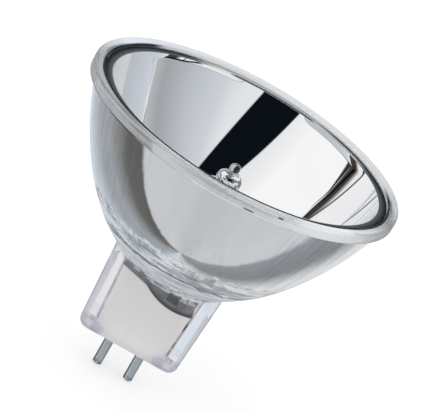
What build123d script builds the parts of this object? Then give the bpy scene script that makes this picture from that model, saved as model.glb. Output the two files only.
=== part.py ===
from build123d import *
from math import hypot, pi, radians, sqrt, tan
import os

# A projector halogen lamp: a pressed-glass reflector with a boxed base, a quartz capsule cemented in it,
# and two contact pins. Millimetres. Z runs out of the mouth along the optical axis, X runs along the pair
# of pins, and the origin is the middle of the base's underside.

# Rim of the reflector
rim_diameter = 50.7
front_height = 38.5
rim_band = 1.7
rim_rounding = 0.45
rim_face_width = 1.8
rim_inner_rounding = 0.25
ledge_width = 1.4
ledge_drop = 0.7
flange_overhang = 0.8
flange_fillet = 0.4

# Inside of the bowl: an ellipse with the filament at one focus and the film gate at the other
filament_height = 23.0
gate_distance = 36.5
coating_thickness = 0.05
coating_gap = 0.05

# Outside of the bowl: a longer ellipse, by its glass under the mirror's lowest point and its higher centre
bowl_floor = 2.36
bowl_centre_rise = 9.85

# Boxed base of the reflector and its hollow
base_width = 16.5
base_depth = 10.4
base_draft = 3.2
base_corner = 1.7
base_bottom_rounding = 1.4
base_side_wall = 2.15
base_face_wall = 1.9
hollow_corner = 0.8
hollow_rise = 2.4
neck_clearance = 1.2
shoulder_fillet = 0.8

# Cement about the pinch seal. Its uneven top lies below the hollow's top: it slopes down from the left
# wall to a step, then sags in an arc on the right.
cement_side = 1.3
cement_face = 1.9
fill_drop_left = 1.3
fill_drop_step = 2.9
fill_drop_lowest = 4.6
fill_drop_right = 3.1
fill_step_offset = -1.9
fill_lowest_offset = 2.3

# Contact pins
pin_spacing = 5.3
pin_diameter = 1.5
pin_length = 6.0
pin_chamfer = 0.15
pin_root_diameter = 1.2

# Quartz capsule: the bulb about the filament, the sealed-off exhaust tip above and the pinch seal below
bulb_diameter = 10.0
bulb_wall = 0.9
bulb_below_coil = 5.45
bulb_above_coil = 3.45
bulb_foot_height = 4.0
bulb_dome_height = 4.2
tip_diameter = 4.0
tip_length = 2.1
tip_rounding = 1.2
tip_offset = 0.9
tip_bore_diameter = 2.0
tip_end_wall = 1.2
bead_diameter = 1.7
bead_rise = 1.6
pinch_corner = 0.6

# Filament: a coil on the axis and two legs down to the foils
coil_diameter = 3.0
coil_pitch = 0.6
coil_whole_turns = 10
wire_diameter = 0.36
leg_lead_in = 0.8
leg_bend_radius = 0.4

# Foils and lead wires in the pinch seal
foil_width = 1.9
foil_thickness = 0.06
foil_length = 6.0
foil_cover_above = 1.2
foil_cover_below = 1.8
weld_overlap = 1.6
weld_flat = 0.07
lead_diameter = 0.8
lead_bare_length = 1.4

# Rim and ledge
rim_radius = rim_diameter / 2
rim_underside = front_height - rim_band
ledge_radius = rim_radius - rim_face_width
ledge_height = front_height - ledge_drop
flange_root_radius = rim_radius - flange_overhang

# Ellipses of the bowl: half height along the axis, half width, height of the centre
mirror_radius = ledge_radius - ledge_width
gate_height = front_height + gate_distance
mirror_half_height = (
    sqrt(mirror_radius**2 + (gate_height - ledge_height) ** 2)
    + sqrt(mirror_radius**2 + (ledge_height - filament_height) ** 2)
) / 2
mirror_half_width = sqrt(mirror_half_height**2 - ((gate_height - filament_height) / 2) ** 2)
mirror_centre = (gate_height + filament_height) / 2
bowl_bottom = mirror_centre - mirror_half_height - bowl_floor
bowl_centre = mirror_centre + bowl_centre_rise
bowl_half_height = bowl_centre - bowl_bottom
bowl_half_width = flange_root_radius / sqrt(1 - ((bowl_centre - rim_underside) / bowl_half_height) ** 2)

# Hollow of the base, and the pinch seal and neck that suit it
hollow_width = base_width - 2 * base_side_wall
hollow_depth = base_depth - 2 * base_face_wall
hollow_top = bowl_bottom + hollow_rise
pinch_width = hollow_width - 2 * cement_side
pinch_thickness = hollow_depth - 2 * cement_face
neck_radius = hypot(pinch_width, pinch_thickness) / 2 + neck_clearance

# Heights of the capsule, from its coil outwards
coil_turns = coil_whole_turns + 0.5
coil_radius = coil_diameter / 2
coil_height = coil_pitch * coil_turns
coil_bottom = filament_height - coil_height / 2
coil_top = filament_height + coil_height / 2
bulb_radius = bulb_diameter / 2
bulb_bottom = coil_bottom - bulb_below_coil
bulb_top = coil_top + bulb_above_coil
bulb_foot_top = bulb_bottom + bulb_foot_height
bulb_dome_base = bulb_top - bulb_dome_height
tip_top = bulb_top + tip_length
foil_top = bulb_bottom - foil_cover_above
foil_bottom = foil_top - foil_length
pinch_bottom = foil_bottom - foil_cover_below
pin_top = pinch_bottom - lead_bare_length

# The lead wires stand on the pins' own axes, and wires and foils are welded flat to flat
pin_offset = pin_spacing / 2
wire_radius = wire_diameter / 2
lead_radius = lead_diameter / 2
foil_front = lead_radius - weld_flat
leg_depth = foil_front + weld_flat - wire_radius
leg_bottom = foil_top - weld_overlap
lead_top = foil_bottom + weld_overlap

STANDING = (Align.CENTER, Align.CENTER, Align.MIN)


def bowl_solid(half_height, half_width, centre, top):
    """The lower end of an ellipsoid about the axis, cut off flat at a height."""
    top_radius = half_width * sqrt(1 - ((top - centre) / half_height) ** 2)
    quarter = EllipticalCenterArc((0, centre), half_width, half_height, -90, arc_size=90)
    side = quarter.trim(0, (top_radius, top))
    outline = side + Polyline(side @ 1, (0, top), side @ 0)
    return revolve(Plane.XZ * make_face(outline), Axis.Z)


def upright(radius, bottom, top, x=0, y=0):
    """A round bar along Z between two heights."""
    return Pos(x, y, bottom) * Cylinder(radius, top - bottom, align=STANDING)


def tapered_box(width, depth, corner, bottom, top):
    """The drafted form of the base between two heights. Its width and depth are those at height 0."""
    spread = 2 * tan(radians(base_draft))
    sections = [
        Pos(0, 0, height) * RectangleRounded(width + spread * height, depth + spread * height, corner)
        for height in (bottom, top)
    ]
    return loft(sections)


def base_hollow():
    """The hollow of the base, open below, in which the cement lies."""
    return tapered_box(hollow_width, hollow_depth, hollow_corner, 0, hollow_top)


def mirror_void(outset):
    """The space inside the bowl below the ledge, grown by a film's thickness."""
    half_height = mirror_half_height + outset
    half_width = mirror_half_width + outset
    return bowl_solid(half_height, half_width, mirror_centre, ledge_height)


def circles_at(shape, height, radius):
    """Round edges of a shape about the axis, by height and radius."""
    return [
        edge
        for edge in shape.edges().filter_by(GeomType.CIRCLE)
        if abs(edge.center(CenterOf.BOUNDING_BOX).Z - height) < 1e-3 and abs(edge.radius - radius) < 1e-3
    ]


def reflector_glass():
    """Rim, bowl and boxed base, pressed in one piece of clear glass."""
    rim = upright(rim_radius, rim_underside, front_height)
    bowl = rim + bowl_solid(bowl_half_height, bowl_half_width, bowl_centre, rim_underside)
    bowl = fillet(circles_at(bowl, front_height, rim_radius), rim_rounding)
    bowl = fillet(circles_at(bowl, rim_underside, flange_root_radius), flange_fillet)
    base = tapered_box(base_width, base_depth, base_corner, 0, hollow_top + hollow_rise)
    base = fillet(base.edges().group_by(Axis.Z)[0], base_bottom_rounding)
    glass = bowl + base
    glass = fillet(new_edges(bowl, base, combined=glass), shoulder_fillet)
    glass -= mirror_void(coating_thickness + coating_gap)
    glass -= upright(ledge_radius, ledge_height, front_height)
    glass = fillet(circles_at(glass, front_height, ledge_radius), rim_inner_rounding)
    glass -= upright(neck_radius, hollow_top, ledge_height)
    return glass - base_hollow()


def mirror_coating():
    """The reflecting film on the inside of the bowl, from the ledge down to the neck."""
    film = mirror_void(coating_thickness) - mirror_void(0)
    return film - upright(neck_radius, 0, ledge_height)


def contact_pin(x):
    """A round contact pin, with a thinner root held in the cement."""
    pin = upright(pin_diameter / 2, -pin_length, 0, x)
    pin = chamfer(pin.edges().group_by(Axis.Z)[0], pin_chamfer)
    return pin + upright(pin_root_diameter / 2, 0, pin_top, x)


def lead_wire(x):
    """A wire from the pin's upper end into the pinch seal, flat where it is welded to the foil."""
    return upright(lead_radius, pin_top, lead_top, x) - seal_foil(x)


def seal_foil(x):
    """A thin foil in the pinch seal."""
    foil = Box(foil_width, foil_thickness, foil_length, align=STANDING)
    return Pos(x, foil_front + foil_thickness / 2, foil_bottom) * foil


def leg_core(x):
    """The straight lower end of a filament leg, from its weld up into the bulb."""
    return upright(wire_radius, leg_bottom, bulb_foot_top, x, leg_depth)


def filament():
    """One wire: up from the right foil, round the coil, and down to the left foil."""
    rise = coil_pitch * leg_lead_in / (pi * coil_diameter)
    coil = Pos(0, 0, coil_bottom) * Helix(coil_pitch, coil_height, coil_radius)
    right_leg = FilletPolyline(
        (pin_offset, leg_depth, leg_bottom),
        (pin_offset, leg_depth, bulb_foot_top),
        (coil_radius, -leg_lead_in, coil_bottom - rise),
        (coil_radius, 0, coil_bottom),
        radius=leg_bend_radius,
    )
    left_leg = FilletPolyline(
        (-coil_radius, 0, coil_top),
        (-coil_radius, -leg_lead_in, coil_top + rise),
        (-pin_offset, -leg_lead_in, coil_top + rise),
        (-pin_offset, leg_depth, bulb_foot_top),
        (-pin_offset, leg_depth, leg_bottom),
        radius=leg_bend_radius,
    )
    path = Wire(right_leg.edges() + coil.edges() + left_leg.edges())
    wire = sweep(Plane(right_leg @ 0, z_dir=right_leg % 0) * Circle(wire_radius), path=path)
    return wire - seal_foil(pin_offset) - seal_foil(-pin_offset)


def bulb_solid(inset):
    """The bulb's form, set in by a wall: a round foot, a straight middle and a round dome."""
    radius = bulb_radius - inset
    foot = EllipticalCenterArc((0, bulb_foot_top), radius, bulb_foot_height - inset, -90, arc_size=90)
    dome = EllipticalCenterArc((0, bulb_dome_base), radius, bulb_dome_height - inset, 0, arc_size=90)
    outline = foot + Line(foot @ 1, dome @ 0) + dome + Line(dome @ 1, foot @ 0)
    return revolve(Plane.XZ * make_face(outline), Axis.Z)


def pinch_seal(top):
    """The flat end of the capsule, pressed shut about the foils, up to a height."""
    section = RectangleRounded(pinch_width, pinch_thickness, pinch_corner)
    return Pos(0, 0, pinch_bottom) * extrude(section, top - pinch_bottom)


def capsule_envelope():
    """Clear quartz: the bulb with its exhaust tip, and the pinch seal about the foils and wires."""
    tip = upright(tip_diameter / 2, bulb_dome_base, tip_top, tip_offset)
    tip = fillet(tip.edges().group_by(Axis.Z)[-1], tip_rounding)
    bead = Pos(tip_offset, 0, tip_top + bead_rise - bead_diameter / 2) * Sphere(bead_diameter / 2)
    quartz = bulb_solid(0) + tip + bead + pinch_seal(bulb_foot_top)
    bore = upright(tip_bore_diameter / 2, bulb_dome_base, tip_top - tip_end_wall, tip_offset)
    quartz -= bulb_solid(bulb_wall) + bore
    for x in (-pin_offset, pin_offset):
        quartz -= [leg_core(x), seal_foil(x), upright(lead_radius, pinch_bottom, lead_top, x)]
    return quartz


def cement_fill():
    """The space under the cement's top, right across the base."""
    reach = base_width / 2
    slope = Polyline(
        (-reach, 0), (-reach, hollow_top - fill_drop_left), (fill_step_offset, hollow_top - fill_drop_step)
    )
    lowest = (fill_lowest_offset, hollow_top - fill_drop_lowest)
    sag = ThreePointArc(slope @ 1, lowest, (reach, hollow_top - fill_drop_right))
    side = make_face(slope + sag + Polyline(sag @ 1, (reach, 0), (-reach, 0)))
    return extrude(Plane.XZ * side, base_depth / 2, both=True)


def base_cement():
    """The potting that holds the capsule and the pins in the base."""
    cement = (base_hollow() & cement_fill()) - pinch_seal(hollow_top)
    for x in (-pin_offset, pin_offset):
        cement -= upright(pin_root_diameter / 2, 0, pin_top, x)
        cement -= upright(lead_radius, pin_top, pinch_bottom, x)
    return cement


nodes = {
    "reflector_glass": reflector_glass(),
    "mirror_coating": mirror_coating(),
    "base_cement": base_cement(),
    "capsule_envelope": capsule_envelope(),
    "filament": filament(),
}
for side, x in (("left", -pin_offset), ("right", pin_offset)):
    nodes[f"contact_pin_{side}"] = contact_pin(x)
    nodes[f"lead_wire_{side}"] = lead_wire(x)
    nodes[f"seal_foil_{side}"] = seal_foil(x)

os.makedirs("parts", exist_ok=True)
for name, shape in nodes.items():
    export_step(shape, f"parts/{name}.step")
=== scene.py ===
import math
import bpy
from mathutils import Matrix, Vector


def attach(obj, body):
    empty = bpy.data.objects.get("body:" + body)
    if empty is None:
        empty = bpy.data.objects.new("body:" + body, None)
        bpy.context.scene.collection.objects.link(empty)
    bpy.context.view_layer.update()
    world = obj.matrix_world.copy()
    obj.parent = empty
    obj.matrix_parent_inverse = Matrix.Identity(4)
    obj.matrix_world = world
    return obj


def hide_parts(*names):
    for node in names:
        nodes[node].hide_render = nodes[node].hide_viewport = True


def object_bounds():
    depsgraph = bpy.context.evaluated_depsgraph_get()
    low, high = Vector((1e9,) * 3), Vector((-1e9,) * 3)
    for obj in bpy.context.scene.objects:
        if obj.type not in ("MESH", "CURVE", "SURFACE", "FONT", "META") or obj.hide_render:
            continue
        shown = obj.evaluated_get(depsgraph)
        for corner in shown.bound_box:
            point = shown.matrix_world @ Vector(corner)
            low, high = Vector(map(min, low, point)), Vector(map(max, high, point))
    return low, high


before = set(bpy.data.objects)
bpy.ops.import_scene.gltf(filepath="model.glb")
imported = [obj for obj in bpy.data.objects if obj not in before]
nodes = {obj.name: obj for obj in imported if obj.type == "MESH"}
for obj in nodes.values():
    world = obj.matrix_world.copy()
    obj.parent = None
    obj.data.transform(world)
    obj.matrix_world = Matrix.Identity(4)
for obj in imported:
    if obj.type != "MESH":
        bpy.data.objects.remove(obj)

from types import SimpleNamespace

import bpy
from mathutils import Matrix, Vector

scene = bpy.context.scene
cad_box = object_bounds()

MM = 0.001
WHITE = (1.0, 1.0, 1.0)


# Helpers for node trees

class Tree:
    """A node tree, with a short method for each kind of node that is used here."""

    def __init__(self, owner):
        owner.use_nodes = True
        self.tree = owner.node_tree
        self.tree.nodes.clear()

    def feed(self, socket, value):
        """Links a socket, or sets it to a value. A colour may come without its alpha."""
        if isinstance(value, bpy.types.NodeSocket):
            self.tree.links.new(value, socket)
        elif socket.type == "RGBA":
            socket.default_value = (*value, 1.0)
        else:
            socket.default_value = value

    def put(self, kind, inputs=None, **settings):
        """One node, with its settings as attributes and its inputs by name or index."""
        node = self.tree.nodes.new(kind)
        for key, value in settings.items():
            setattr(node, key, value)
        for key, value in (inputs or {}).items():
            self.feed(node.inputs[key], value)
        return node

    def calc(self, operation, *values):
        return self.put("ShaderNodeMath", dict(enumerate(values)), operation=operation).outputs[0]

    def chain(self, operation, values):
        total = values[0]
        for value in values[1:]:
            total = self.calc(operation, total, value)
        return total

    def times(self, *values):
        return self.chain("MULTIPLY", values)

    def plus(self, *values):
        return self.chain("ADD", values)

    def most(self, *values):
        return self.chain("MAXIMUM", values)

    def minus(self, first, second):
        return self.calc("SUBTRACT", first, second)

    def size(self, value):
        return self.calc("ABSOLUTE", value)

    def fade(self, value, limits, low=0.0, high=1.0):
        """A smooth step from low at the first limit to high at the second."""
        start, end = limits
        inputs = {"Value": value, "From Min": start, "From Max": end, "To Min": low, "To Max": high}
        return self.put("ShaderNodeMapRange", inputs, interpolation_type="SMOOTHSTEP").outputs["Result"]

    def band(self, value, limits, soft):
        """1 between two limits and 0 outside them, with soft ends."""
        low, high = limits
        rise = self.fade(value, (low - soft, low + soft))
        return self.times(rise, self.fade(value, (high + soft, high - soft)))

    def ramp(self, factor, stops):
        """A colour ramp with stops (place, colour), where a colour may be one grey value."""
        node = self.put("ShaderNodeValToRGB", {"Fac": factor})
        elements = node.color_ramp.elements
        while len(elements) < len(stops):
            elements.new(0.5)
        for element, (place, _) in zip(elements, stops):
            element.position = place
        for element, (_, colour) in zip(elements, stops):
            if not isinstance(colour, tuple):
                colour = (colour, colour, colour)
            element.color = (*colour, 1.0)
        return node.outputs["Color"]

    def ramp_round(self, angle, stops):
        """A colour ramp over an angle in radians, with its stops in degrees from -180 to 180."""
        share = self.calc("MULTIPLY_ADD", angle, 0.5 / math.pi, 0.5)
        return self.ramp(share, [((degrees + 180) / 360, colour) for degrees, colour in stops])

    def mix(self, factor, first, second, blend="MIX"):
        node = self.put("ShaderNodeMix", {"Factor": factor}, data_type="RGBA", blend_type=blend)
        colours = [socket for socket in node.inputs if socket.type == "RGBA"]
        for socket, value in zip(colours, (first, second)):
            self.feed(socket, value)
        return next(socket for socket in node.outputs if socket.type == "RGBA")

    def vector(self, *sides):
        return self.put("ShaderNodeCombineXYZ", dict(enumerate(sides))).outputs[0]

    def split(self, vector):
        return self.put("ShaderNodeSeparateXYZ", {0: vector}).outputs

    def vector_math(self, operation, *vectors):
        return self.put("ShaderNodeVectorMath", dict(enumerate(vectors)), operation=operation).outputs[0]

    def dot(self, first, second):
        node = self.put("ShaderNodeVectorMath", {0: first, 1: second}, operation="DOT_PRODUCT")
        return node.outputs["Value"]

    def noise(self, vector, scale, detail=2.0, rough=0.5, warp=0.0):
        inputs = {"Vector": vector, "Scale": scale, "Detail": detail, "Roughness": rough, "Distortion": warp}
        return self.put("ShaderNodeTexNoise", inputs).outputs[0]

    def drawn_noise(self, places, scales, detail, rough=0.5, warp=0.0):
        """Noise over some places, each with its own scale, so that it is drawn out one way."""
        sides = [self.times(place, scale) for place, scale in zip(places, scales)]
        return self.noise(self.vector(*sides), 1.0, detail, rough, warp)


class Material(Tree):
    """A material's tree, with the place that is shaded in millimetres."""

    def __init__(self, name):
        self.material = bpy.data.materials.new(name)
        super().__init__(self.material)
        geometry = self.put("ShaderNodeNewGeometry").outputs
        self.normal = geometry["Normal"]
        self.back = geometry["Backfacing"]
        self.spot = self.vector_math("MULTIPLY", geometry["Position"], (1 / MM, 1 / MM, 1 / MM))
        self.output = self.put("ShaderNodeOutputMaterial")

    def off_axis(self):
        """The way from the axis to the place, along the normal: below 0 where the face looks at the axis."""
        return self.dot(self.vector_math("MULTIPLY", self.spot, (1.0, 1.0, 0.0)), self.normal)

    def bump(self, height, depth):
        return self.put("ShaderNodeBump", {"Height": height, "Distance": depth * MM}).outputs[0]

    def principled(self, **inputs):
        named = {name.replace("_", " "): value for name, value in inputs.items()}
        return self.put("ShaderNodeBsdfPrincipled", named).outputs[0]

    def cover(self, share, shader, colour):
        """A shader, covered in part by a matt colour."""
        matt = self.put("ShaderNodeBsdfDiffuse", {"Color": colour}).outputs[0]
        return self.put("ShaderNodeMixShader", {0: share, 1: shader, 2: matt}).outputs[0]

    def done(self, shader):
        self.tree.links.new(shader, self.output.inputs["Surface"])
        return self.material


def direction(azimuth, elevation):
    """A unit vector from two angles in degrees. Azimuth 0 is the photograph's side, 90 the right."""
    turn, rise = math.radians(azimuth), math.radians(elevation)
    return Vector((math.sin(turn) * math.cos(rise), -math.cos(turn) * math.cos(rise), math.sin(rise)))


# Camera at the photograph's viewing angle

IMAGE_WIDTH = 427
FOCAL_LENGTH_PX = 2800.0
SENSOR_WIDTH = 36.0
VIEW_AZIMUTH = -1.298
VIEW_ELEVATION = 20.938
VIEW_ROLL = math.radians(30.041)
VIEW_CENTRE = Vector((0.0, 0.0, 24.992 * MM))
VIEW_SHIFT = 1.057 * MM
VIEW_DISTANCE = 417.16 * MM


def add_camera():
    back = direction(VIEW_AZIMUTH, VIEW_ELEVATION)
    level = direction(VIEW_AZIMUTH + 90.0, 0.0)
    above = back.cross(level)
    right = math.cos(VIEW_ROLL) * level + math.sin(VIEW_ROLL) * above
    up = math.cos(VIEW_ROLL) * above - math.sin(VIEW_ROLL) * level
    data = bpy.data.cameras.new("camera")
    data.sensor_width = SENSOR_WIDTH
    data.lens = SENSOR_WIDTH * FOCAL_LENGTH_PX / IMAGE_WIDTH
    data.clip_start = 0.01
    data.clip_end = 20.0
    camera = bpy.data.objects.new("camera", data)
    scene.collection.objects.link(camera)
    turn = Matrix((right, up, back)).transposed().to_4x4()
    place = VIEW_SHIFT * right + VIEW_CENTRE + VIEW_DISTANCE * back
    camera.matrix_world = Matrix.Translation(place) @ turn
    scene.camera = camera


# Studio: a white room with a black gap between two soft boxes, where the camera stands, and grey flags below.
# The stops go round the lamp in degrees, from behind it over its left, the camera's side at 0 and its right.

ROOM = (
    (-180, 0.84), (-140, 0.90), (-100, 1.0), (-45, 1.0), (-35, 0.93), (-20, 0.86), (18, 0.83),
    (25, (0.77, 0.79, 0.81)), (35, (0.655, 0.68, 0.72)), (45, (0.61, 0.64, 0.68)),
    (55, (0.565, 0.59, 0.63)), (65, (0.51, 0.54, 0.575)), (75, (0.45, 0.47, 0.50)),
    (88, (0.38, 0.40, 0.42)), (105, (0.55, 0.56, 0.57)), (140, 0.86), (180, 0.84),
)
FLAGS = (
    (-180, (0.76, 0.82, 0.88)), (-165, (0.70, 0.77, 0.84)), (-150, (0.52, 0.56, 0.60)),
    (-135, (0.41, 0.43, 0.45)), (-120, (0.43, 0.44, 0.45)), (-108, (0.31, 0.31, 0.31)),
    (-95, (0.17, 0.16, 0.15)), (-76.5, (0.15, 0.145, 0.14)), (-73.5, (0.71, 0.72, 0.725)),
    (-45, (0.715, 0.715, 0.725)), (0, (0.645, 0.65, 0.66)), (40, (0.69, 0.695, 0.70)),
    (74, (0.73, 0.735, 0.745)), (90, (0.72, 0.73, 0.74)), (95.5, (0.355, 0.37, 0.385)),
    (115, (0.30, 0.315, 0.325)), (127, (0.29, 0.305, 0.315)), (140, 0.60), (152, 0.80), (165, 0.78),
    (180, 0.84),
)
FLAGS_EDGE = (-14.0, 0.0)

# The gap's edges and the lines are given by two directions each, as azimuth and elevation
GAP_LEFT = ((-14.7, 36.5), (-27.0, 8.5))
GAP_RIGHT = ((5.2, 8.5), (28.2, 42.5))
GAP_EDGE = (-0.012, 0.012)
GAP_FRONT = (0.0, -0.2)
GAP_FOOT = (-4.0, 2.0)
GAP_BLACK = (0.0035, 0.006, 0.0085)

# What the mirror shows of itself: the gap is narrower and brown in its second image, with a thin line beside
# it, and only a line is left in the third
SECOND_IMAGE = (
    (-180, 0.84), (-100, 0.95), (-28, 1.0), (-22.5, (0.95, 0.945, 0.94)), (-18.6, (0.92, 0.91, 0.90)),
    (-17.2, (0.42, 0.395, 0.38)), (-13.4, (0.30, 0.275, 0.26)), (-12.5, (0.06, 0.052, 0.047)),
    (-6, (0.050, 0.043, 0.039)), (5.4, (0.065, 0.058, 0.054)), (6.0, (0.085, 0.08, 0.078)),
    (6.6, (0.97, 0.98, 1.0)), (9.0, (0.95, 0.96, 0.98)), (12.5, (0.72, 0.76, 0.80)), (15, (0.70, 0.74, 0.78)),
    (30, (0.65, 0.695, 0.74)), (70, (0.56, 0.60, 0.64)), (100, 0.60), (140, 0.80), (180, 0.84),
)
SECOND_LINE = ((-17.0, 39.0), (-27.5, 22.5))
SECOND_LINE_WIDTH = 0.027
SECOND_LINE_SHARE = 0.95
SECOND_LINE_TONE = (0.03, 0.026, 0.024)
LATER_IMAGES = ((-180, 0.84), (-100, 0.95), (-20, 1.0), (10, (0.80, 0.83, 0.86)), (100, 0.70), (180, 0.84))
THIRD_LINE = ((-38.5, 28.5), (-50.0, 17.5))
THIRD_LINE_WIDTH = 0.03
THIRD_LINE_TONE = (0.10, 0.10, 0.11)
LINE_CORE = 0.4
IMAGES_FOOT = (-2.0, 4.0)

# How much more light comes through glass to a matt face, to make up for what the glass keeps back
LIFT_THROUGH_GLASS = 0.27


class Studio(Tree):
    """The world's tree, with the direction that a ray leaves in."""

    def __init__(self):
        world = bpy.data.worlds.new("studio")
        scene.world = world
        super().__init__(world)
        self.path = self.put("ShaderNodeLightPath").outputs
        self.ray = self.vector_math("NORMALIZE", self.put("ShaderNodeTexCoord").outputs["Generated"])
        x, self.y, z = self.split(self.ray)
        self.azimuth = self.calc("ARCTAN2", x, self.times(self.y, -1.0))
        self.elevation = self.times(self.calc("ARCSINE", z), 180 / math.pi)

    def beside(self, first, second):
        """How far the ray lies to one side of the plane through two directions."""
        return self.dot(self.ray, direction(*first).cross(direction(*second)).normalized())

    def line(self, ends, width):
        """A thin line in the room, through two directions."""
        return self.fade(self.size(self.beside(*ends)), (width, LINE_CORE * width))

    def deeper(self, kind, count):
        """1 for a ray that has met more than count surfaces of a kind."""
        return self.calc("GREATER_THAN", self.path[kind], count + 0.5)

    def first_image(self):
        seen = self.mix(self.fade(self.elevation, FLAGS_EDGE), self.ramp_round(self.azimuth, FLAGS),
                        self.ramp_round(self.azimuth, ROOM))
        sides = [self.fade(self.beside(*edge), GAP_EDGE) for edge in (GAP_LEFT, GAP_RIGHT)]
        gap = self.times(*sides, self.fade(self.y, GAP_FRONT), self.fade(self.elevation, GAP_FOOT))
        return self.mix(gap, seen, GAP_BLACK)

    def second_image(self):
        line = self.times(self.line(SECOND_LINE, SECOND_LINE_WIDTH), SECOND_LINE_SHARE)
        return self.mix(line, self.ramp_round(self.azimuth, SECOND_IMAGE), SECOND_LINE_TONE)

    def later_images(self):
        third = self.minus(1.0, self.deeper("Glossy Depth", 3))
        line = self.times(self.line(THIRD_LINE, THIRD_LINE_WIDTH), third)
        return self.mix(line, self.ramp_round(self.azimuth, LATER_IMAGES), THIRD_LINE_TONE)

    def light(self):
        """White for the camera and for matt faces, and the images for mirrors and glass."""
        again = self.mix(self.deeper("Glossy Depth", 2), self.second_image(), self.later_images())
        twice = self.times(self.deeper("Glossy Depth", 1), self.fade(self.elevation, IMAGES_FOOT))
        images = self.mix(twice, self.first_image(), again)
        matt = self.deeper("Diffuse Depth", 0)
        through = self.path["Is Transmission Ray"]
        sharp = self.times(self.most(self.path["Is Glossy Ray"], through), self.minus(1.0, matt))
        strength = self.calc("MULTIPLY_ADD", self.times(through, matt), LIFT_THROUGH_GLASS, 1.0)
        light = {"Color": self.mix(sharp, WHITE, images), "Strength": strength}
        background = self.put("ShaderNodeBackground", light).outputs[0]
        self.put("ShaderNodeOutputWorld", {"Surface": background})


SOFT_BOX_WIDTH = 0.5
SOFT_BOX_HEIGHT = 0.7
SOFT_BOX_POWER = 1.2
SOFT_BOX_PLACE = Vector((-0.45, -0.55, 0.65))
SOFT_BOX_TARGET = Vector((0.0, 0.0, 15.0 * MM))


def add_soft_box():
    """One light from the upper left, which the mirror and the glass don't show."""
    data = bpy.data.lights.new("soft_box", "AREA")
    data.shape = "RECTANGLE"
    data.size = SOFT_BOX_WIDTH
    data.size_y = SOFT_BOX_HEIGHT
    data.energy = SOFT_BOX_POWER
    soft_box = bpy.data.objects.new("soft_box", data)
    scene.collection.objects.link(soft_box)
    turn = (SOFT_BOX_PLACE - SOFT_BOX_TARGET).to_track_quat("Z", "Y").to_matrix().to_4x4()
    soft_box.matrix_world = Matrix.Translation(SOFT_BOX_PLACE) @ turn
    soft_box.visible_glossy = False
    soft_box.visible_transmission = False


def set_up_render():
    scene.view_settings.view_transform = "Standard"
    scene.cycles.max_bounces = 32
    scene.cycles.transmission_bounces = 28
    scene.cycles.glossy_bounces = 20
    scene.cycles.diffuse_bounces = 4
    scene.cycles.transparent_max_bounces = 8


# Floor just under the pins: white paper that takes a faint shadow

FLOOR_REACH = 3.0
FLOOR_GAP = 0.1 * MM
FLOOR_GLOW = 0.48
PAPER_GRAIN = 0.9
PAPER_TONES = ((0.3, 0.58), (0.7, 0.60))


def add_floor():
    low = cad_box[0].z - FLOOR_GAP
    corners = [(FLOOR_REACH * x, FLOOR_REACH * y, low) for x, y in ((-1, -1), (1, -1), (1, 1), (-1, 1))]
    mesh = bpy.data.meshes.new("floor")
    mesh.from_pydata(corners, [], [(0, 1, 2, 3)])
    floor = bpy.data.objects.new("floor", mesh)
    scene.collection.objects.link(floor)
    floor.visible_glossy = False
    floor.visible_transmission = False
    tree = Material("floor")
    paper = tree.ramp(tree.noise(tree.spot, PAPER_GRAIN), PAPER_TONES)
    matt = tree.put("ShaderNodeBsdfDiffuse", {"Color": paper}).outputs[0]
    seen = tree.put("ShaderNodeLightPath").outputs["Is Camera Ray"]
    strength = tree.times(seen, FLOOR_GLOW)
    glow = tree.put("ShaderNodeEmission", {"Color": WHITE, "Strength": strength}).outputs[0]
    mesh.materials.append(tree.done(tree.put("ShaderNodeAddShader", {0: matt, 1: glow}).outputs[0]))


# Materials. Places and depths are in millimetres: x, y and z from the origin, radius from the axis. A pair is
# where a fade starts and ends, or the two ends of a band that has a softness of its own. A noise's scales are
# per millimetre, or per radian where it goes round the axis. WALL_SLOPE is how far the base's drafted walls
# lean out for each millimetre up.

WALL_SLOPE = 0.0559

# Clear pressed glass. A face is on the outside where it looks away from the axis by more than FACES_OUT, its
# radius times the cosine.
GLASS_IOR = 1.47
FACES_OUT = 1.2

# Tints of the bowl, with streaks and fine lines up its sides
STREAKS = {"scales": (11.0, 0.040), "detail": 3.0, "rough": 0.6}
STREAK_RANGE = (0.35, 0.65)
STREAK_TINTS = ((0.905, 0.92, 0.93), (0.92, 0.935, 0.945))
LINES = {"scales": (34.0, 0.070), "detail": 3.0, "rough": 0.65}
LEFT_X = (-9.0, -15.0)
LEFT_DARK_LINES = (0.42, 0.62)
LEFT_DARK_SHARE = 0.8
LEFT_DARK_TINT = (0.70, 0.72, 0.735)
LEFT_PALE_LINES = (0.45, 0.30)
RIGHT_X = (9.5, 16.0)
RIGHT_DARK_LINES = (0.48, 0.60)
RIGHT_DARK_SHARE = 0.9
RIGHT_DARK_TINT = (0.66, 0.69, 0.73)
RIGHT_PALE_LINES = (0.48, 0.36)
MOTTLE = {"scales": (5.0, 0.0, 0.170), "detail": 3.0, "rough": 0.6}
MOTTLE_RANGE = (0.48, 0.62)
MOTTLE_SHARE = 0.75
MOTTLE_Z = (29.0, 24.0)
MOTTLE_TINT = (0.76, 0.75, 0.785)

# Tints of the base: its toes are its lower ends, with a matt haze in front, and its posts its outer edges,
# painted dark as shade
BASE_Z = (13.5, 11.5)
BASE_TINT = (0.94, 0.94, 0.962)
TOE_Z = (2.6, 1.8)
TOE_X = (5.0, 5.6)
TOE_TINT = (0.82, 0.82, 0.88)
POST_Y = (3.0, 3.4)
POST_Z = (12.5, 11.5)
POST_X = (7.97, 8.04)
POST_SHARE = 0.8
POST_SHADE_TINT = (0.25, 0.26, 0.30)
HAZE_Z = (2.5, 1.9)
HAZE_X = (4.6, 5.2)
HAZE_Y = (-1.5, -3.0)
HAZE_SHARE = 0.65
HAZE_TONE = (0.60, 0.61, 0.69)


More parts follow.
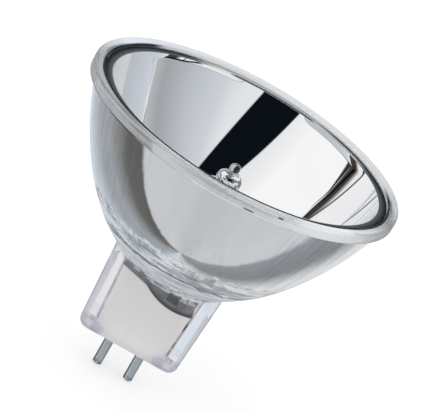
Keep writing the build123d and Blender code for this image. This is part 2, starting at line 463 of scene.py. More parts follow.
def glass_tint(tree, at):
    tint = tree.mix(tree.fade(at.streaks, STREAK_RANGE), *STREAK_TINTS)
    for side, dark, share, dark_tint, pale in (
            (at.left, LEFT_DARK_LINES, LEFT_DARK_SHARE, LEFT_DARK_TINT, LEFT_PALE_LINES),
            (at.right, RIGHT_DARK_LINES, RIGHT_DARK_SHARE, RIGHT_DARK_TINT, RIGHT_PALE_LINES)):
        tint = tree.mix(tree.times(side, tree.fade(at.lines, dark, high=share)), tint, dark_tint)
        tint = tree.mix(tree.times(side, tree.fade(at.lines, pale)), tint, WHITE)
    mottle = tree.drawn_noise((at.angle, at.radius, at.z), **MOTTLE)
    mottle = tree.fade(mottle, MOTTLE_RANGE, high=MOTTLE_SHARE)
    tint = tree.mix(tree.times(mottle, at.outside, tree.fade(at.z, MOTTLE_Z)), tint, MOTTLE_TINT)
    tint = tree.mix(tree.fade(at.z, BASE_Z), tint, BASE_TINT)
    tint = tree.mix(tree.times(tree.fade(at.z, TOE_Z), tree.fade(at.across, TOE_X)), tint, TOE_TINT)
    # The posts: painted shade, a dark tint along the base's outer edges
    post_shade = tree.fade(tree.minus(at.across, tree.times(at.z, WALL_SLOPE)), POST_X)
    post_shade = tree.times(post_shade, tree.fade(tree.size(at.y), POST_Y), tree.fade(at.z, POST_Z, high=POST_SHARE))
    return tree.mix(post_shade, tint, POST_SHADE_TINT)


# Low on the bowl, where it runs into the base, the glass is ragged with flow marks
# Their colours are painted light and shade: glints and dark flecks in the foam, a pale band of light along
# the seam, a dark line of shade in the groove and a highlight along the crest
FLOW_BORDER = {"scales": (11.0, 0.0, 0.120), "detail": 4.0, "rough": 0.65}
FLOW_BORDER_RANGE = (0.2, 0.8)
FLOW_BORDER_DEPTH = 1.1
FLOW_TOP_Z = (22.3, 21.7)
FLOW_FOOT_Z = (10.8, 12.0)
FLOW_FACES_DOWN = (-0.2, -0.4)
GLINT_FOAM = {"scales": (2.6, 0.150, 0.900), "detail": 5.0, "rough": 0.62, "warp": 0.8}
GLINT_FOAM_TONES = (
    (0.41, (0.06, 0.072, 0.095)), (0.46, (0.34, 0.40, 0.49)), (0.51, (0.68, 0.78, 0.89)), (0.56, WHITE),
)
GLINT_FOAM_RANGE = (0.42, 0.60)
GLINT_FOAM_SHARES = (0.50, 0.80)
SEAM_WAVE = {"scales": (4.0,), "detail": 2.0}
SEAM_WAVE_RANGE = (0.3, 0.7)
SEAM_WAVE_DEPTH = 0.3
SEAM_TOP_Z = (18.2, 17.8)
SEAM_FOOT_Z = (14.5, 15.5)
SEAM_TINT_SHARE = 0.65
SEAM_SHARE = 0.66
SEAM_LIGHT_TONE = (0.84, 0.83, 0.91)
GROOVE_Z = (18.2, 18.5)
GROOVE_SOFT = 0.12
GROOVE_SHARE = 0.85
GROOVE_SHADE_TONE = (0.05, 0.055, 0.075)
CREST_Z = (20.4, 21.6)
CREST_STREAKS = (0.42, 0.56)
CREST_TINT_SHARE = 0.75
CREST_SHARE = 0.8
CREST_HIGHLIGHT_TONE = (0.93, 0.96, 1.0)


def flow_border(tree, at):
    """The height, with a ragged wave in it."""
    wave = tree.drawn_noise((at.angle, at.radius, at.z), **FLOW_BORDER)
    return tree.plus(at.z, tree.fade(wave, FLOW_BORDER_RANGE, -FLOW_BORDER_DEPTH, FLOW_BORDER_DEPTH))


def flow_marks(tree, at):
    """The share that flow marks cover, and their colour of painted glints, light and shade."""
    glint_foam = tree.drawn_noise((at.angle, at.radius, at.z), **GLINT_FOAM)
    wave = tree.drawn_noise((at.angle,), **SEAM_WAVE)
    level = tree.plus(at.z, tree.fade(wave, SEAM_WAVE_RANGE, -SEAM_WAVE_DEPTH, SEAM_WAVE_DEPTH))
    seam = tree.times(tree.fade(level, SEAM_TOP_Z), tree.fade(level, SEAM_FOOT_Z))
    groove = tree.band(level, GROOVE_Z, GROOVE_SOFT)
    crest = tree.fade(at.streaks, CREST_STREAKS, high=CREST_TINT_SHARE)
    crest = tree.times(crest, tree.fade(at.border, CREST_Z))
    tone = tree.mix(crest, tree.ramp(glint_foam, GLINT_FOAM_TONES), CREST_HIGHLIGHT_TONE)
    tone = tree.mix(tree.times(seam, SEAM_TINT_SHARE), tone, SEAM_LIGHT_TONE)
    tone = tree.mix(groove, tone, GROOVE_SHADE_TONE)
    strong = tree.most(tree.times(seam, SEAM_SHARE), tree.times(groove, GROOVE_SHARE),
                       tree.times(crest, CREST_SHARE))
    share = tree.times(at.flow_zone, tree.most(tree.fade(glint_foam, GLINT_FOAM_RANGE, *GLINT_FOAM_SHARES), strong))
    return share, tone


# Relief of the glass, and the rim's satin
RELIEF_DEPTH = 0.12
FLOW = {"scales": (2.4, 0.120, 1.0), "detail": 3.0, "rough": 0.6}
FLOW_HEIGHT = 1.1
RINGS = {"scales": (0.9, 1.2, 0.9), "detail": 1.0}
RINGS_RADIUS = (22.8, 24.0)
RINGS_HEIGHT = 0.08
STREAKS_HEIGHT = 0.10
LINES_HEIGHT = 0.16
SATIN_RADIUS = (22.6, 23.2)
SATIN_Z = (36.0, 36.6)
SATIN_ROUGHNESS = 0.04


def glass_relief(tree, at):
    flow = tree.times(tree.drawn_noise((at.angle, at.radius, at.z), **FLOW), at.flow_zone, FLOW_HEIGHT)
    rings = tree.drawn_noise((at.radius, at.angle, at.z), **RINGS)
    rings = tree.times(rings, tree.fade(at.radius, RINGS_RADIUS), RINGS_HEIGHT)
    streaks = tree.times(at.streaks, at.outside, STREAKS_HEIGHT)
    lines = tree.times(at.lines, tree.plus(at.left, at.right), LINES_HEIGHT)
    return tree.plus(flow, rings, streaks, lines)


# The rim's ground edge and face, with painted light and shade in tones round it in degrees from the right,
# and a pale line of painted highlight low in front
EDGE_SHADING_TONES = (
    (-180, 0.42), (-170, 0.38), (-150, 0.41), (-130, 0.51), (-110, 0.62), (-90, 0.56), (-74, 0.66),
    (-64, 0.86), (-50, 0.92), (-38, 0.82), (-30, 0.60), (-10, 0.30), (0, 0.58), (8, 0.74), (20, 0.78),
    (60, 0.80), (140, 0.80), (172, 0.76), (180, 0.42),
)
FACE_SHADING_TONES = (
    (-180, 0.46), (-150, 0.43), (-130, 0.30), (-110, 0.56), (-90, 0.50), (-74, 0.66), (-50, 0.82),
    (-30, 0.84), (-12, 0.26), (5, 0.50), (20, 0.68), (60, 0.76), (125, 0.77), (146, (0.78, 0.81, 0.85)),
    (160, (0.78, 0.84, 0.91)), (171, (0.62, 0.67, 0.73)), (180, 0.46),
)
FACE_Z = (38.2, 38.4)
GROUND_TINT = (0.96, 0.98, 1.0)
GROUND_RADIUS = (24.0, 24.2)
GROUND_Z = (36.6, 36.9)
# The far side is more ground, and its inner wall is painted pale as light
FAR_Y = (0.0, 10.0)
FAR_SHARE = 0.85
FAR_WALL_RADIUS = (23.4, 23.5)
FAR_WALL_FOOT_Z = (37.9, 38.0)
FAR_WALL_TOP_Z = (38.4, 38.2)
FAR_WALL_LIGHT_TONE = (0.98, 0.99, 1.0)
GROUND_LINES = {"scales": (0.9, 1.6, 0.9), "detail": 1.0}
GROUND_LINES_RANGE = (0.38, 0.62)
GROUND_LINES_SHARES = (0.30, 0.70)
# A bright arc, where the ground covers more: a painted highlight
BRIGHT_ARC = (-1.12, -0.60)
BRIGHT_ARC_SOFT = 0.12
BRIGHT_ARC_SHARE = 0.95
BRIM_Z = (36.80, 37.06)
BRIM_Z_SOFT = 0.04
BRIM_X = (-6.0, 12.0)
BRIM_X_SOFT = 3.0
BRIM_Y = (-12.0, -18.0)
BRIM_SHARE = 0.8
BRIM_HIGHLIGHT_TONE = (0.84, 0.85, 0.84)


def ground_rim(tree, at):
    """The share of the rim that is ground, and its colour, with painted light and shade."""
    tone = tree.mix(tree.fade(at.z, FACE_Z), tree.ramp_round(at.angle, EDGE_SHADING_TONES),
                    tree.ramp_round(at.angle, FACE_SHADING_TONES))
    tone = tree.mix(1.0, tone, GROUND_TINT, "MULTIPLY")
    edge = tree.times(tree.fade(at.radius, GROUND_RADIUS), tree.fade(at.z, GROUND_Z))
    far_wall = tree.times(tree.fade(at.y, FAR_Y), tree.fade(at.radius, FAR_WALL_RADIUS),
                          tree.fade(at.z, FAR_WALL_FOOT_Z))
    lines = tree.drawn_noise((at.radius, at.angle, at.z), **GROUND_LINES)
    lines = tree.fade(lines, GROUND_LINES_RANGE, *GROUND_LINES_SHARES)
    arc = tree.times(tree.band(at.angle, BRIGHT_ARC, BRIGHT_ARC_SOFT), BRIGHT_ARC_SHARE)
    streaks = tree.most(tree.fade(at.y, FAR_Y, high=FAR_SHARE), lines, arc)
    ground = tree.times(tree.most(edge, far_wall), streaks)
    brim_highlight = tree.times(tree.band(at.z, BRIM_Z, BRIM_Z_SOFT), tree.band(at.x, BRIM_X, BRIM_X_SOFT),
                      tree.fade(at.y, BRIM_Y, high=BRIM_SHARE))
    tone = tree.mix(brim_highlight, tone, BRIM_HIGHLIGHT_TONE)
    tone = tree.mix(tree.times(far_wall, tree.fade(at.z, FAR_WALL_TOP_Z)), tone, FAR_WALL_LIGHT_TONE)
    return tree.most(ground, brim_highlight), tone


# Painted shade on the rim: dark on the ledge that the film ends on, the face's inner edge on the near side,
# two dashes at the front, a line under the rim on the left, and the step's wall on the far left
LEDGE_Z = (37.75, 37.85)
LEDGE_Z_SOFT = 0.02
LEDGE_RADIUS = (22.2, 23.52)
LEDGE_RADIUS_SOFT = 0.06
LEDGE_LEFT_X = (-8.0, -14.0)
LEDGE_NEAR_Y = (16.5, 12.5)
LEDGE_LINE_RADIUS = (22.8, 23.0)
LEDGE_LINE_X = (8.0, 14.0)
LEDGE_LINE_SHARES = (0.35, 0.95)
LIP_LINE_RADIUS = (23.1, 22.9)
LIP_LINE_X = (-6.2, 8.2)
LIP_LINE_SOFT = 0.8
INNER_EDGE_Z = (38.15, 38.25)
INNER_EDGE_RADIUS = (23.78, 23.70)
INNER_EDGE_Y = (10.0, 4.0)
INNER_EDGE_WIDENS_Y = (2.0, -10.0)
INNER_EDGE_WIDENS = 0.55
INNER_EDGE_SHARE = 0.92
DASHES_X = ((4.1, 5.6), (9.0, 9.8))
DASHES_X_SOFT = (0.3, 0.1)
DASHES_Z = ((37.02, 37.28), (37.80, 38.12))
DASHES_Z_SOFT = 0.06
DASHES_RADIUS = (24.9, 25.1)
DASHES_Y = (-18.0, -20.0)
DASHES_SHARE = 0.75
UNDER_LINE_Z = (36.75, 36.98)
UNDER_LINE_Z_SOFT = 0.04
UNDER_LINE_X = (-18.6, -13.4)
UNDER_LINE_X_SOFT = 1.6
UNDER_LINE_Y = (-8.0, -12.0)
UNDER_LINE_SHARE = 0.85
STEP_Z = (37.82, 38.36)
STEP_RADIUS = (23.40, 23.72)
STEP_SOFT = 0.04
STEP_X = (-16.8, -19.0)
STEP_Y = (-2.0, 3.0)
STEP_SHARE = 0.95
RIM_SHADE_RADIUS = (22.2, 23.6)
RIM_SHADE_TONES = ((0.0, (0.10, 0.11, 0.12)), (0.55, (0.045, 0.05, 0.058)), (1.0, (0.012, 0.014, 0.018)))


def painted_ledge_shade(tree, at):
    """Painted shade: dark all over on the left and the near side, with a line on the right and one at the far
    lip.
    """
    ledge = tree.times(tree.band(at.z, LEDGE_Z, LEDGE_Z_SOFT),
                       tree.band(at.radius, LEDGE_RADIUS, LEDGE_RADIUS_SOFT))
    line = tree.times(tree.fade(at.radius, LEDGE_LINE_RADIUS),
                      tree.fade(at.x, LEDGE_LINE_X, *LEDGE_LINE_SHARES))
    lip_line = tree.times(tree.fade(at.radius, LIP_LINE_RADIUS), tree.band(at.x, LIP_LINE_X, LIP_LINE_SOFT))
    whole = tree.most(tree.fade(at.x, LEDGE_LEFT_X), tree.fade(at.y, LEDGE_NEAR_Y))
    return tree.times(ledge, tree.most(whole, line, lip_line))


def painted_rim_shade(tree, at):
    """The share of the rim that is painted dark as shade, and its colour."""
    radius = tree.minus(at.radius, tree.fade(at.y, INNER_EDGE_WIDENS_Y, high=INNER_EDGE_WIDENS))
    inner_edge = tree.times(tree.fade(at.z, INNER_EDGE_Z), tree.fade(radius, INNER_EDGE_RADIUS),
                            tree.fade(at.y, INNER_EDGE_Y, high=INNER_EDGE_SHARE))
    dashes = [tree.times(tree.band(at.x, across, soft), tree.band(at.z, height, DASHES_Z_SOFT))
              for across, soft, height in zip(DASHES_X, DASHES_X_SOFT, DASHES_Z)]
    dashes = tree.times(tree.plus(*dashes), tree.fade(at.radius, DASHES_RADIUS),
                        tree.fade(at.y, DASHES_Y, high=DASHES_SHARE))
    under_line = tree.times(at.outside, tree.band(at.z, UNDER_LINE_Z, UNDER_LINE_Z_SOFT),
                            tree.band(at.x, UNDER_LINE_X, UNDER_LINE_X_SOFT),
                            tree.fade(at.y, UNDER_LINE_Y, high=UNDER_LINE_SHARE))
    step = tree.times(tree.band(at.z, STEP_Z, STEP_SOFT), tree.band(at.radius, STEP_RADIUS, STEP_SOFT),
                      tree.fade(at.x, STEP_X), tree.fade(at.y, STEP_Y, high=STEP_SHARE))
    share = tree.most(painted_ledge_shade(tree, at), inner_edge, dashes, under_line, step)
    return share, tree.ramp(tree.fade(at.radius, RIM_SHADE_RADIUS), RIM_SHADE_TONES)


def glass_places(tree):
    """Where a place on the glass lies, and the patterns that several of its looks share."""
    x, y, z = tree.split(tree.spot)
    radius = tree.calc("SQRT", tree.plus(tree.times(x, x), tree.times(y, y)))
    at = SimpleNamespace(x=x, y=y, z=z, radius=radius, angle=tree.calc("ARCTAN2", y, x), across=tree.size(x))
    front = tree.calc("MULTIPLY_ADD", tree.back, -2.0, 1.0)
    at.outside = tree.calc("GREATER_THAN", tree.times(tree.off_axis(), front), FACES_OUT)
    at.left = tree.times(at.outside, tree.fade(x, LEFT_X))
    at.right = tree.times(at.outside, tree.fade(x, RIGHT_X))
    at.streaks = tree.drawn_noise((at.angle, z), **STREAKS)
    at.lines = tree.drawn_noise((at.angle, z), **LINES)
    at.border = flow_border(tree, at)
    faces_down = tree.fade(tree.split(tree.normal)["Z"], FLOW_FACES_DOWN)
    at.flow_zone = tree.times(at.outside, faces_down, tree.fade(at.border, FLOW_TOP_Z),
                              tree.fade(z, FLOW_FOOT_Z))
    return at


def reflector_glass():
    tree = Material("reflector_glass")
    at = glass_places(tree)
    satin = tree.times(tree.fade(at.radius, SATIN_RADIUS), tree.fade(at.z, SATIN_Z, high=SATIN_ROUGHNESS))
    skin = tree.principled(Base_Color=glass_tint(tree, at), Roughness=satin, IOR=GLASS_IOR,
                           Transmission_Weight=1.0, Normal=tree.bump(glass_relief(tree, at), RELIEF_DEPTH))
    haze = tree.times(tree.fade(at.z, HAZE_Z), tree.fade(at.across, HAZE_X, high=HAZE_SHARE),
                      tree.fade(at.y, HAZE_Y))
    for share, tone in (flow_marks(tree, at), (haze, HAZE_TONE), ground_rim(tree, at), painted_rim_shade(tree, at)):
        skin = tree.cover(share, skin, tone)
    return tree.done(skin)


# Clear quartz, wavy where the exhaust tip was drawn off and painted there with dark and pale patches of
# shade, with a dark ring of painted shade in the bead, and pale patches of painted highlight below it
QUARTZ_IOR = 1.458
QUARTZ_CLOUD = 0.3
QUARTZ_CLOUD_RANGE = (0.35, 0.65)
QUARTZ_TINTS = ((0.93, 0.94, 0.945), (0.96, 0.965, 0.97))
TIP_PATCH_NOISE = {"scale": 0.7, "detail": 3.0, "rough": 0.6, "warp": 1.2}
TIP_SHADE_TINTS = (
    (0.42, (0.05, 0.055, 0.06)), (0.48, (0.30, 0.32, 0.33)), (0.53, (0.85, 0.86, 0.87)), (0.60, WHITE),
)
TIP_SHADE_Z = (28.8, 29.6)
TIP_SHADE_SHARE = 0.9
BEAD_Z = (31.7, 31.9)
BEAD_SHADING_TINTS = (
    (0.0, (0.50, 0.52, 0.53)), (0.25, (0.80, 0.81, 0.82)), (0.38, (0.06, 0.065, 0.07)),
    (0.55, (0.10, 0.105, 0.11)), (0.72, (0.95, 0.95, 0.96)), (1.0, WHITE),
)
QUARTZ_RIPPLE = 0.9
QUARTZ_RELIEF = 0.02
TIP_WAVES_Z = (28.5, 29.6)
TIP_WAVES_HEIGHT = 2.5
TIP_HIGHLIGHT_LEFT_X = (-1.2, -2.2)
TIP_HIGHLIGHT_LEFT_GAIN = 0.05
TIP_HIGHLIGHT_RANGE = (0.52, 0.57)
TIP_HIGHLIGHT_SHARE = 0.85
TIP_HIGHLIGHT_FOOT_Z = (28.6, 29.2)
TIP_HIGHLIGHT_TOP_Z = (31.9, 31.7)
TIP_HIGHLIGHT_TONE = (0.93, 0.94, 0.95)


def quartz():
    tree = Material("quartz")
    x, _, z = tree.split(tree.spot)
    tip_patches = tree.noise(tree.spot, **TIP_PATCH_NOISE)
    tint = tree.mix(tree.fade(tree.noise(tree.spot, QUARTZ_CLOUD), QUARTZ_CLOUD_RANGE), *QUARTZ_TINTS)
    # Painted shade: dark and pale patches on the tip
    tint = tree.mix(tree.fade(z, TIP_SHADE_Z, high=TIP_SHADE_SHARE), tint, tree.ramp(tip_patches, TIP_SHADE_TINTS))
    facing = tree.put("ShaderNodeLayerWeight", {"Blend": 0.5}).outputs["Facing"]
    # The bead's dark ring and pale middle are painted shade and highlight, set by how squarely it faces
    tint = tree.mix(tree.fade(z, BEAD_Z), tint, tree.ramp(facing, BEAD_SHADING_TINTS))
    waves = tree.times(tip_patches, tree.fade(z, TIP_WAVES_Z, high=TIP_WAVES_HEIGHT))
    relief = tree.plus(tree.noise(tree.spot, QUARTZ_RIPPLE), waves)
    glass = tree.principled(Base_Color=tint, Roughness=0.0, IOR=QUARTZ_IOR, Transmission_Weight=1.0,
                            Normal=tree.bump(relief, QUARTZ_RELIEF))
    # Pale patches of painted highlight on the dome below the bead, more on its left
    tip_highlight = tree.plus(tip_patches, tree.fade(x, TIP_HIGHLIGHT_LEFT_X, high=TIP_HIGHLIGHT_LEFT_GAIN))
    tip_highlight = tree.times(tree.fade(tip_highlight, TIP_HIGHLIGHT_RANGE, high=TIP_HIGHLIGHT_SHARE), tree.fade(z, TIP_HIGHLIGHT_FOOT_Z),
                      tree.fade(z, TIP_HIGHLIGHT_TOP_Z))
    return tree.done(tree.cover(tip_highlight, glass, TIP_HIGHLIGHT_TONE))


# Bright film. Its inner face leans up on the left, and down on the right and along its far lip. A black
# streak of painted reflection lies at the lip's left end, and the cut top edge is painted dark as shade on
# the left.
FILM_HAZE = 0.09
FILM_TINTS = ((0.90, 0.905, 0.915), (0.925, 0.93, 0.94))
FILM_ROUGHNESS = 0.012
FILM_BLACK = (0.01, 0.01, 0.01)
BLACK_STREAK_CLIMB_X = (-14.2, -11.2)
BLACK_STREAK_CLIMB = 0.40
BLACK_STREAK_Z = (37.16, 37.42)
BLACK_STREAK_Z_SOFT = 0.06
BLACK_STREAK_X = (-16.3, -11.2)
BLACK_STREAK_X_SOFT = 0.6
BLACK_STREAK_Y = (10.0, 12.0)
CUT_Z = (37.790, 37.797)
CUT_X = (-8.0, -14.0)
CUT_SHARE = 0.9
LEAN_LEFT_X = (-4.0, -12.0)
LEAN_LEFT = 0.046
LEAN_RIGHT_X = (6.0, 12.0)
LEAN_RIGHT_Z = (32.2, 28.0)
LEAN_RIGHT = -0.018
LIP_Y = (11.5, 13.5)
LIP_Z = (36.8, 37.8)
LIP_LEAN = -0.15
LIP_MIDDLE_X = (-4.5, 7.0)
LIP_MIDDLE_SOFT = 1.5


def mirror_coating():
    tree = Material("mirror_coating")
    x, y, z = tree.split(tree.spot)
    # A black streak at the lip's left end, painted as a reflection, and the top edge painted dark as shade on
    # the left
    climb = tree.minus(z, tree.fade(x, BLACK_STREAK_CLIMB_X, high=BLACK_STREAK_CLIMB))
    painted_black_streak = tree.times(tree.band(climb, BLACK_STREAK_Z, BLACK_STREAK_Z_SOFT), tree.band(x, BLACK_STREAK_X, BLACK_STREAK_X_SOFT),
                      tree.fade(y, BLACK_STREAK_Y))
    cut_shade = tree.times(tree.fade(z, CUT_Z), tree.fade(x, CUT_X, high=CUT_SHARE))
    silver = tree.mix(tree.noise(tree.spot, FILM_HAZE, detail=3.0), *FILM_TINTS)
    silver = tree.mix(tree.most(painted_black_streak, cut_shade), silver, FILM_BLACK)
    inward = tree.calc("LESS_THAN", tree.off_axis(), 0.0)
    left = tree.fade(x, LEAN_LEFT_X, high=LEAN_LEFT)
    right = tree.times(tree.fade(x, LEAN_RIGHT_X), tree.fade(z, LEAN_RIGHT_Z, high=LEAN_RIGHT))
    ends = tree.minus(1.0, tree.band(x, LIP_MIDDLE_X, LIP_MIDDLE_SOFT))
    lip = tree.times(tree.fade(y, LIP_Y), tree.fade(z, LIP_Z, high=LIP_LEAN), ends)
    lean = tree.vector(0.0, 0.0, tree.times(inward, tree.plus(left, right, lip)))
    normal = tree.vector_math("NORMALIZE", tree.vector_math("ADD", lean, tree.normal))
    metal = tree.principled(Base_Color=silver, Metallic=1.0, Roughness=FILM_ROUGHNESS, Normal=normal)
    return tree.done(metal)


# Cream cement. Its sides are painted a darker, bluer shade, a dark line runs down by each corner, and its
# feet are grey.
CEMENT_GRAIN = {"scale": 1.4, "detail": 4.0, "rough": 0.6}
CEMENT_GRAIN_RANGE = (0.55, 0.75)
CEMENT_GRAIN_SHARE = 0.35
CEMENT_GRAIN_TONE = (0.90, 0.88, 0.86)
CEMENT_RELIEF = 0.06
CEMENT_ROUGHNESS = 0.85
CEMENT_CLOUD = 0.22
CEMENT_CLOUD_RANGE = (0.3, 0.7)
CEMENT_TONES = ((0.95, 0.932, 0.915), (0.97, 0.955, 0.94))
SIDE_NORMAL = (0.5, 0.8)
SIDE_SHADE_TONE = (0.86, 0.86, 0.905)
CRACK_NOISE = 0.7
CRACK_RANGE = (0.35, 0.6)
CRACK_SHARES = (0.45, 1.0)
CRACK_RIGHT_X = (-1.0, 1.0)
CRACK_LEFT_SHARE = 0.4
CRACK_FOOT_Z = (2.0, 2.6)
CRACK_X = (5.65, 6.00)
CRACK_SOFT = 0.08
CRACK_TONE = (0.03, 0.03, 0.04)
FOOT_X = (4.0, 4.6)
FOOT_Z = (1.6, 1.2)
FOOT_TONE = (0.80, 0.80, 0.87)

# The cement's top, painted with light and shade: dark towards the front as shade, with dark blots of shade,
# lighter on the left, and one painted glint on the right
TOP_NORMAL = (0.35, 0.6)
TOP_Y = (-3.6, -1.2)
TOP_SHADE_TONES = ((0.07, 0.08, 0.075), (0.42, 0.42, 0.47))
TOP_LEFT_X = (-1.2, -3.0)
TOP_LEFT_LIGHT_TONE = (0.46, 0.45, 0.50)
SHADE_BLOTS = {"scale": 0.5, "detail": 3.0}
SHADE_BLOT_RANGE = (0.4, 0.7)
SHADE_BLOT_SHARE = 0.5
SHADE_BLOT_TONE = (0.06, 0.065, 0.065)
GLINT = {"scale": 0.8, "detail": 3.0}
GLINT_RANGE = (0.46, 0.52)
GLINT_X = (2.8, 3.4)
GLINT_Y = (-1.2, -0.4)
GLINT_TONE = (0.97, 0.97, 1.0)


def painted_cement_top(tree, x, y):
    tone = tree.mix(tree.fade(y, TOP_Y), *TOP_SHADE_TONES)
    tone = tree.mix(tree.fade(x, TOP_LEFT_X), tone, TOP_LEFT_LIGHT_TONE)
    tone = tree.mix(tree.fade(tree.noise(tree.spot, **SHADE_BLOTS), SHADE_BLOT_RANGE, high=SHADE_BLOT_SHARE), tone, SHADE_BLOT_TONE)
    glint = tree.fade(tree.noise(tree.spot, **GLINT), GLINT_RANGE)
    return tree.mix(tree.times(glint, tree.fade(x, GLINT_X), tree.fade(y, GLINT_Y)), tone, GLINT_TONE)


def cement():
    tree = Material("cement")
    x, y, z = tree.split(tree.spot)
    sideways, _, upward = tree.split(tree.normal)
    across = tree.size(x)
    grain = tree.noise(tree.spot, **CEMENT_GRAIN)
    tone = tree.mix(tree.fade(tree.noise(tree.spot, CEMENT_CLOUD), CEMENT_CLOUD_RANGE), *CEMENT_TONES)
    tone = tree.mix(tree.fade(grain, CEMENT_GRAIN_RANGE, high=CEMENT_GRAIN_SHARE), tone, CEMENT_GRAIN_TONE)
    # The sides: painted shade, darker and bluer than the rest
    tone = tree.mix(tree.fade(tree.size(sideways), SIDE_NORMAL), tone, SIDE_SHADE_TONE)
    crack = tree.times(tree.fade(tree.noise(tree.spot, CRACK_NOISE), CRACK_RANGE, *CRACK_SHARES),
                       tree.fade(x, CRACK_RIGHT_X, low=CRACK_LEFT_SHARE), tree.fade(z, CRACK_FOOT_Z),
                       tree.band(tree.minus(across, tree.times(z, WALL_SLOPE)), CRACK_X, CRACK_SOFT))
    tone = tree.mix(crack, tone, CRACK_TONE)
    tone = tree.mix(tree.times(tree.fade(across, FOOT_X), tree.fade(z, FOOT_Z)), tone, FOOT_TONE)
    # The top faces take the painted shade, light and glint of the cement's top
    tone = tree.mix(tree.fade(upward, TOP_NORMAL), tone, painted_cement_top(tree, x, y))
    return tree.done(tree.principled(Base_Color=tone, Roughness=CEMENT_ROUGHNESS,
                                     Normal=tree.bump(grain, CEMENT_RELIEF)))


# Dull plated pins, drawn lengthwise, with a painted highlight and painted shade along their left side, with
# dark speckled ends
PIN_DRAWN = {"scales": (5.0, 5.0, 0.4), "detail": 3.0}
PIN_TONES = ((0.36, 0.395, 0.42), (0.60, 0.645, 0.675))
PIN_DRAWN_RANGE = (0.2, 0.8)
PIN_ROUGHNESS = (0.28, 0.42)
PIN_RELIEF = 0.01
PIN_HIGHLIGHT_NORMAL = (-0.72, -0.45)
PIN_HIGHLIGHT_SOFT = 0.06
PIN_HIGHLIGHT_TONE = (0.70, 0.74, 0.77)
PIN_SHADE_NORMAL = (-0.78, -0.86)
PIN_SHADE_TONE = (0.10, 0.12, 0.14)
SPECKS = {"scale": 3.2, "detail": 3.0}
SPECK_RANGE = (0.42, 0.58)
SPECK_SHARE = 0.92
SPECK_Z = (-5.0, -5.8)
SPECK_TONE = (0.02, 0.022, 0.024)


def pin_metal():
    tree = Material("pin_metal")
    x, y, z = tree.split(tree.spot)
    drawn = tree.drawn_noise((x, y, z), **PIN_DRAWN)
    sideways = tree.split(tree.normal)["X"]
    tone = tree.mix(drawn, *PIN_TONES)
    # A painted highlight and painted shade, set by which way the face turns
    tone = tree.mix(tree.band(sideways, PIN_HIGHLIGHT_NORMAL, PIN_HIGHLIGHT_SOFT), tone, PIN_HIGHLIGHT_TONE)
    tone = tree.mix(tree.fade(sideways, PIN_SHADE_NORMAL), tone, PIN_SHADE_TONE)
    specks = tree.fade(tree.noise(tree.spot, **SPECKS), SPECK_RANGE, high=SPECK_SHARE)
    tone = tree.mix(tree.times(tree.fade(z, SPECK_Z), specks), tone, SPECK_TONE)
    return tree.done(tree.principled(Base_Color=tone, Metallic=1.0,
                                     Roughness=tree.fade(drawn, PIN_DRAWN_RANGE, *PIN_ROUGHNESS),
                                     Normal=tree.bump(drawn, PIN_RELIEF)))


# Grey metal of the filament, the foils and the wires
TUNGSTEN_GRAIN = 6.0
TUNGSTEN_TONES = ((0.22, 0.22, 0.23), (0.40, 0.40, 0.42))
TUNGSTEN_ROUGHNESS = 0.35
MOLYBDENUM_GRAIN = 4.0
MOLYBDENUM_TONES = ((0.30, 0.30, 0.32), (0.46, 0.46, 0.48))
MOLYBDENUM_ROUGHNESS = 0.4


def grey_metal(name, grain, tones, roughness):
    tree = Material(name)
    tone = tree.mix(tree.noise(tree.spot, grain, detail=3.0), *tones)
    return tree.done(tree.principled(Base_Color=tone, Metallic=1.0, Roughness=roughness))


# The film, turned finely enough for a mirror. Its ellipse has the filament at one focus and the film gate at
# the other.

FILAMENT_HEIGHT = 23.0
GATE_HEIGHT = 75.0
FILM_HALF_WIDTH = 23.383
FILM_THICKNESS = 0.05
FILM_NECK_RADIUS = 6.2
FILM_TOP = 37.8
FILM_ROWS = 90
FILM_TURNS = 320
SHARP_ANGLE = math.radians(40)


def film_side(outset):
    """Points up one side of the film, as radius and height, from the neck to the ledge."""
    centre = (FILAMENT_HEIGHT + GATE_HEIGHT) / 2
    half_width = FILM_HALF_WIDTH + outset
    half_height = math.hypot(FILM_HALF_WIDTH, GATE_HEIGHT - centre) + outset
    start = math.asin(FILM_NECK_RADIUS / half_width)
    end = math.acos((centre - FILM_TOP) / half_height)
    turns = [start + (end - start) * i / FILM_ROWS for i in range(FILM_ROWS + 1)]
    return [(half_width * math.sin(t) * MM, (centre - half_height * math.cos(t)) * MM) for t in turns]


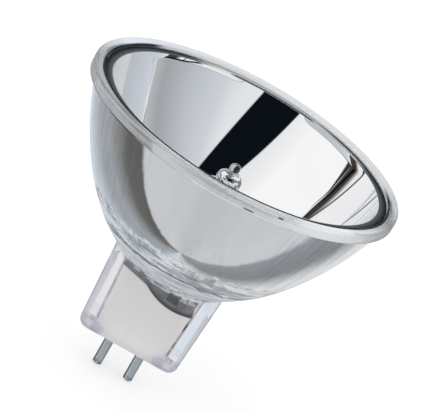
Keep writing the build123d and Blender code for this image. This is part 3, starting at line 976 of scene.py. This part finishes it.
def lathe(name, outline, count, material):
    """A closed outline of (radius, height), turned about the axis, smooth but for its sharp edges."""
    points = []
    for step in range(count):
        turn = 2 * math.pi * step / count
        points += [(radius * math.cos(turn), radius * math.sin(turn), height) for radius, height in outline]
    rows = len(outline)
    faces = []
    for step in range(count):
        here = step * rows
        there = (step + 1) % count * rows
        for low in range(rows):
            high = (low + 1) % rows
            faces.append((here + low, there + low, there + high, here + high))
    mesh = bpy.data.meshes.new(name)
    mesh.from_pydata(points, [], faces)
    mesh.polygons.foreach_set("use_smooth", [True] * len(faces))
    mesh.update()
    mesh.set_sharp_from_angle(angle=SHARP_ANGLE)
    mesh.materials.append(material)
    piece = bpy.data.objects.new(name, mesh)
    scene.collection.objects.link(piece)
    return piece


# What lies in glass swells by a hair, so that no two faces are in one place

SWELL = {
    "base_cement": 0.03,
    "filament": 0.01,
    "lead_wire_left": 0.01,
    "lead_wire_right": 0.01,
    "seal_foil_left": 0.01,
    "seal_foil_right": 0.01,
}


# The scene

add_camera()
Studio().light()
add_soft_box()
set_up_render()
add_floor()

film = mirror_coating()
pins = pin_metal()
tungsten = grey_metal("tungsten", TUNGSTEN_GRAIN, TUNGSTEN_TONES, TUNGSTEN_ROUGHNESS)
molybdenum = grey_metal("molybdenum", MOLYBDENUM_GRAIN, MOLYBDENUM_TONES, MOLYBDENUM_ROUGHNESS)
dress = {
    "reflector_glass": reflector_glass(),
    "mirror_coating": film,
    "base_cement": cement(),
    "capsule_envelope": quartz(),
    "filament": tungsten,
    "contact_pin_left": pins,
    "contact_pin_right": pins,
    "lead_wire_left": molybdenum,
    "lead_wire_right": molybdenum,
    "seal_foil_left": molybdenum,
    "seal_foil_right": molybdenum,
}
for name, material in dress.items():
    nodes[name].data.materials.clear()
    nodes[name].data.materials.append(material)

mirror = lathe("mirror_film", film_side(FILM_THICKNESS) + film_side(0.0)[::-1], FILM_TURNS, film)
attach(mirror, "root")
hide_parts("mirror_coating")

for name, proud in SWELL.items():
    swell = nodes[name].modifiers.new("bedded", "DISPLACE")
    swell.strength = proud * MM
    swell.mid_level = 0.0
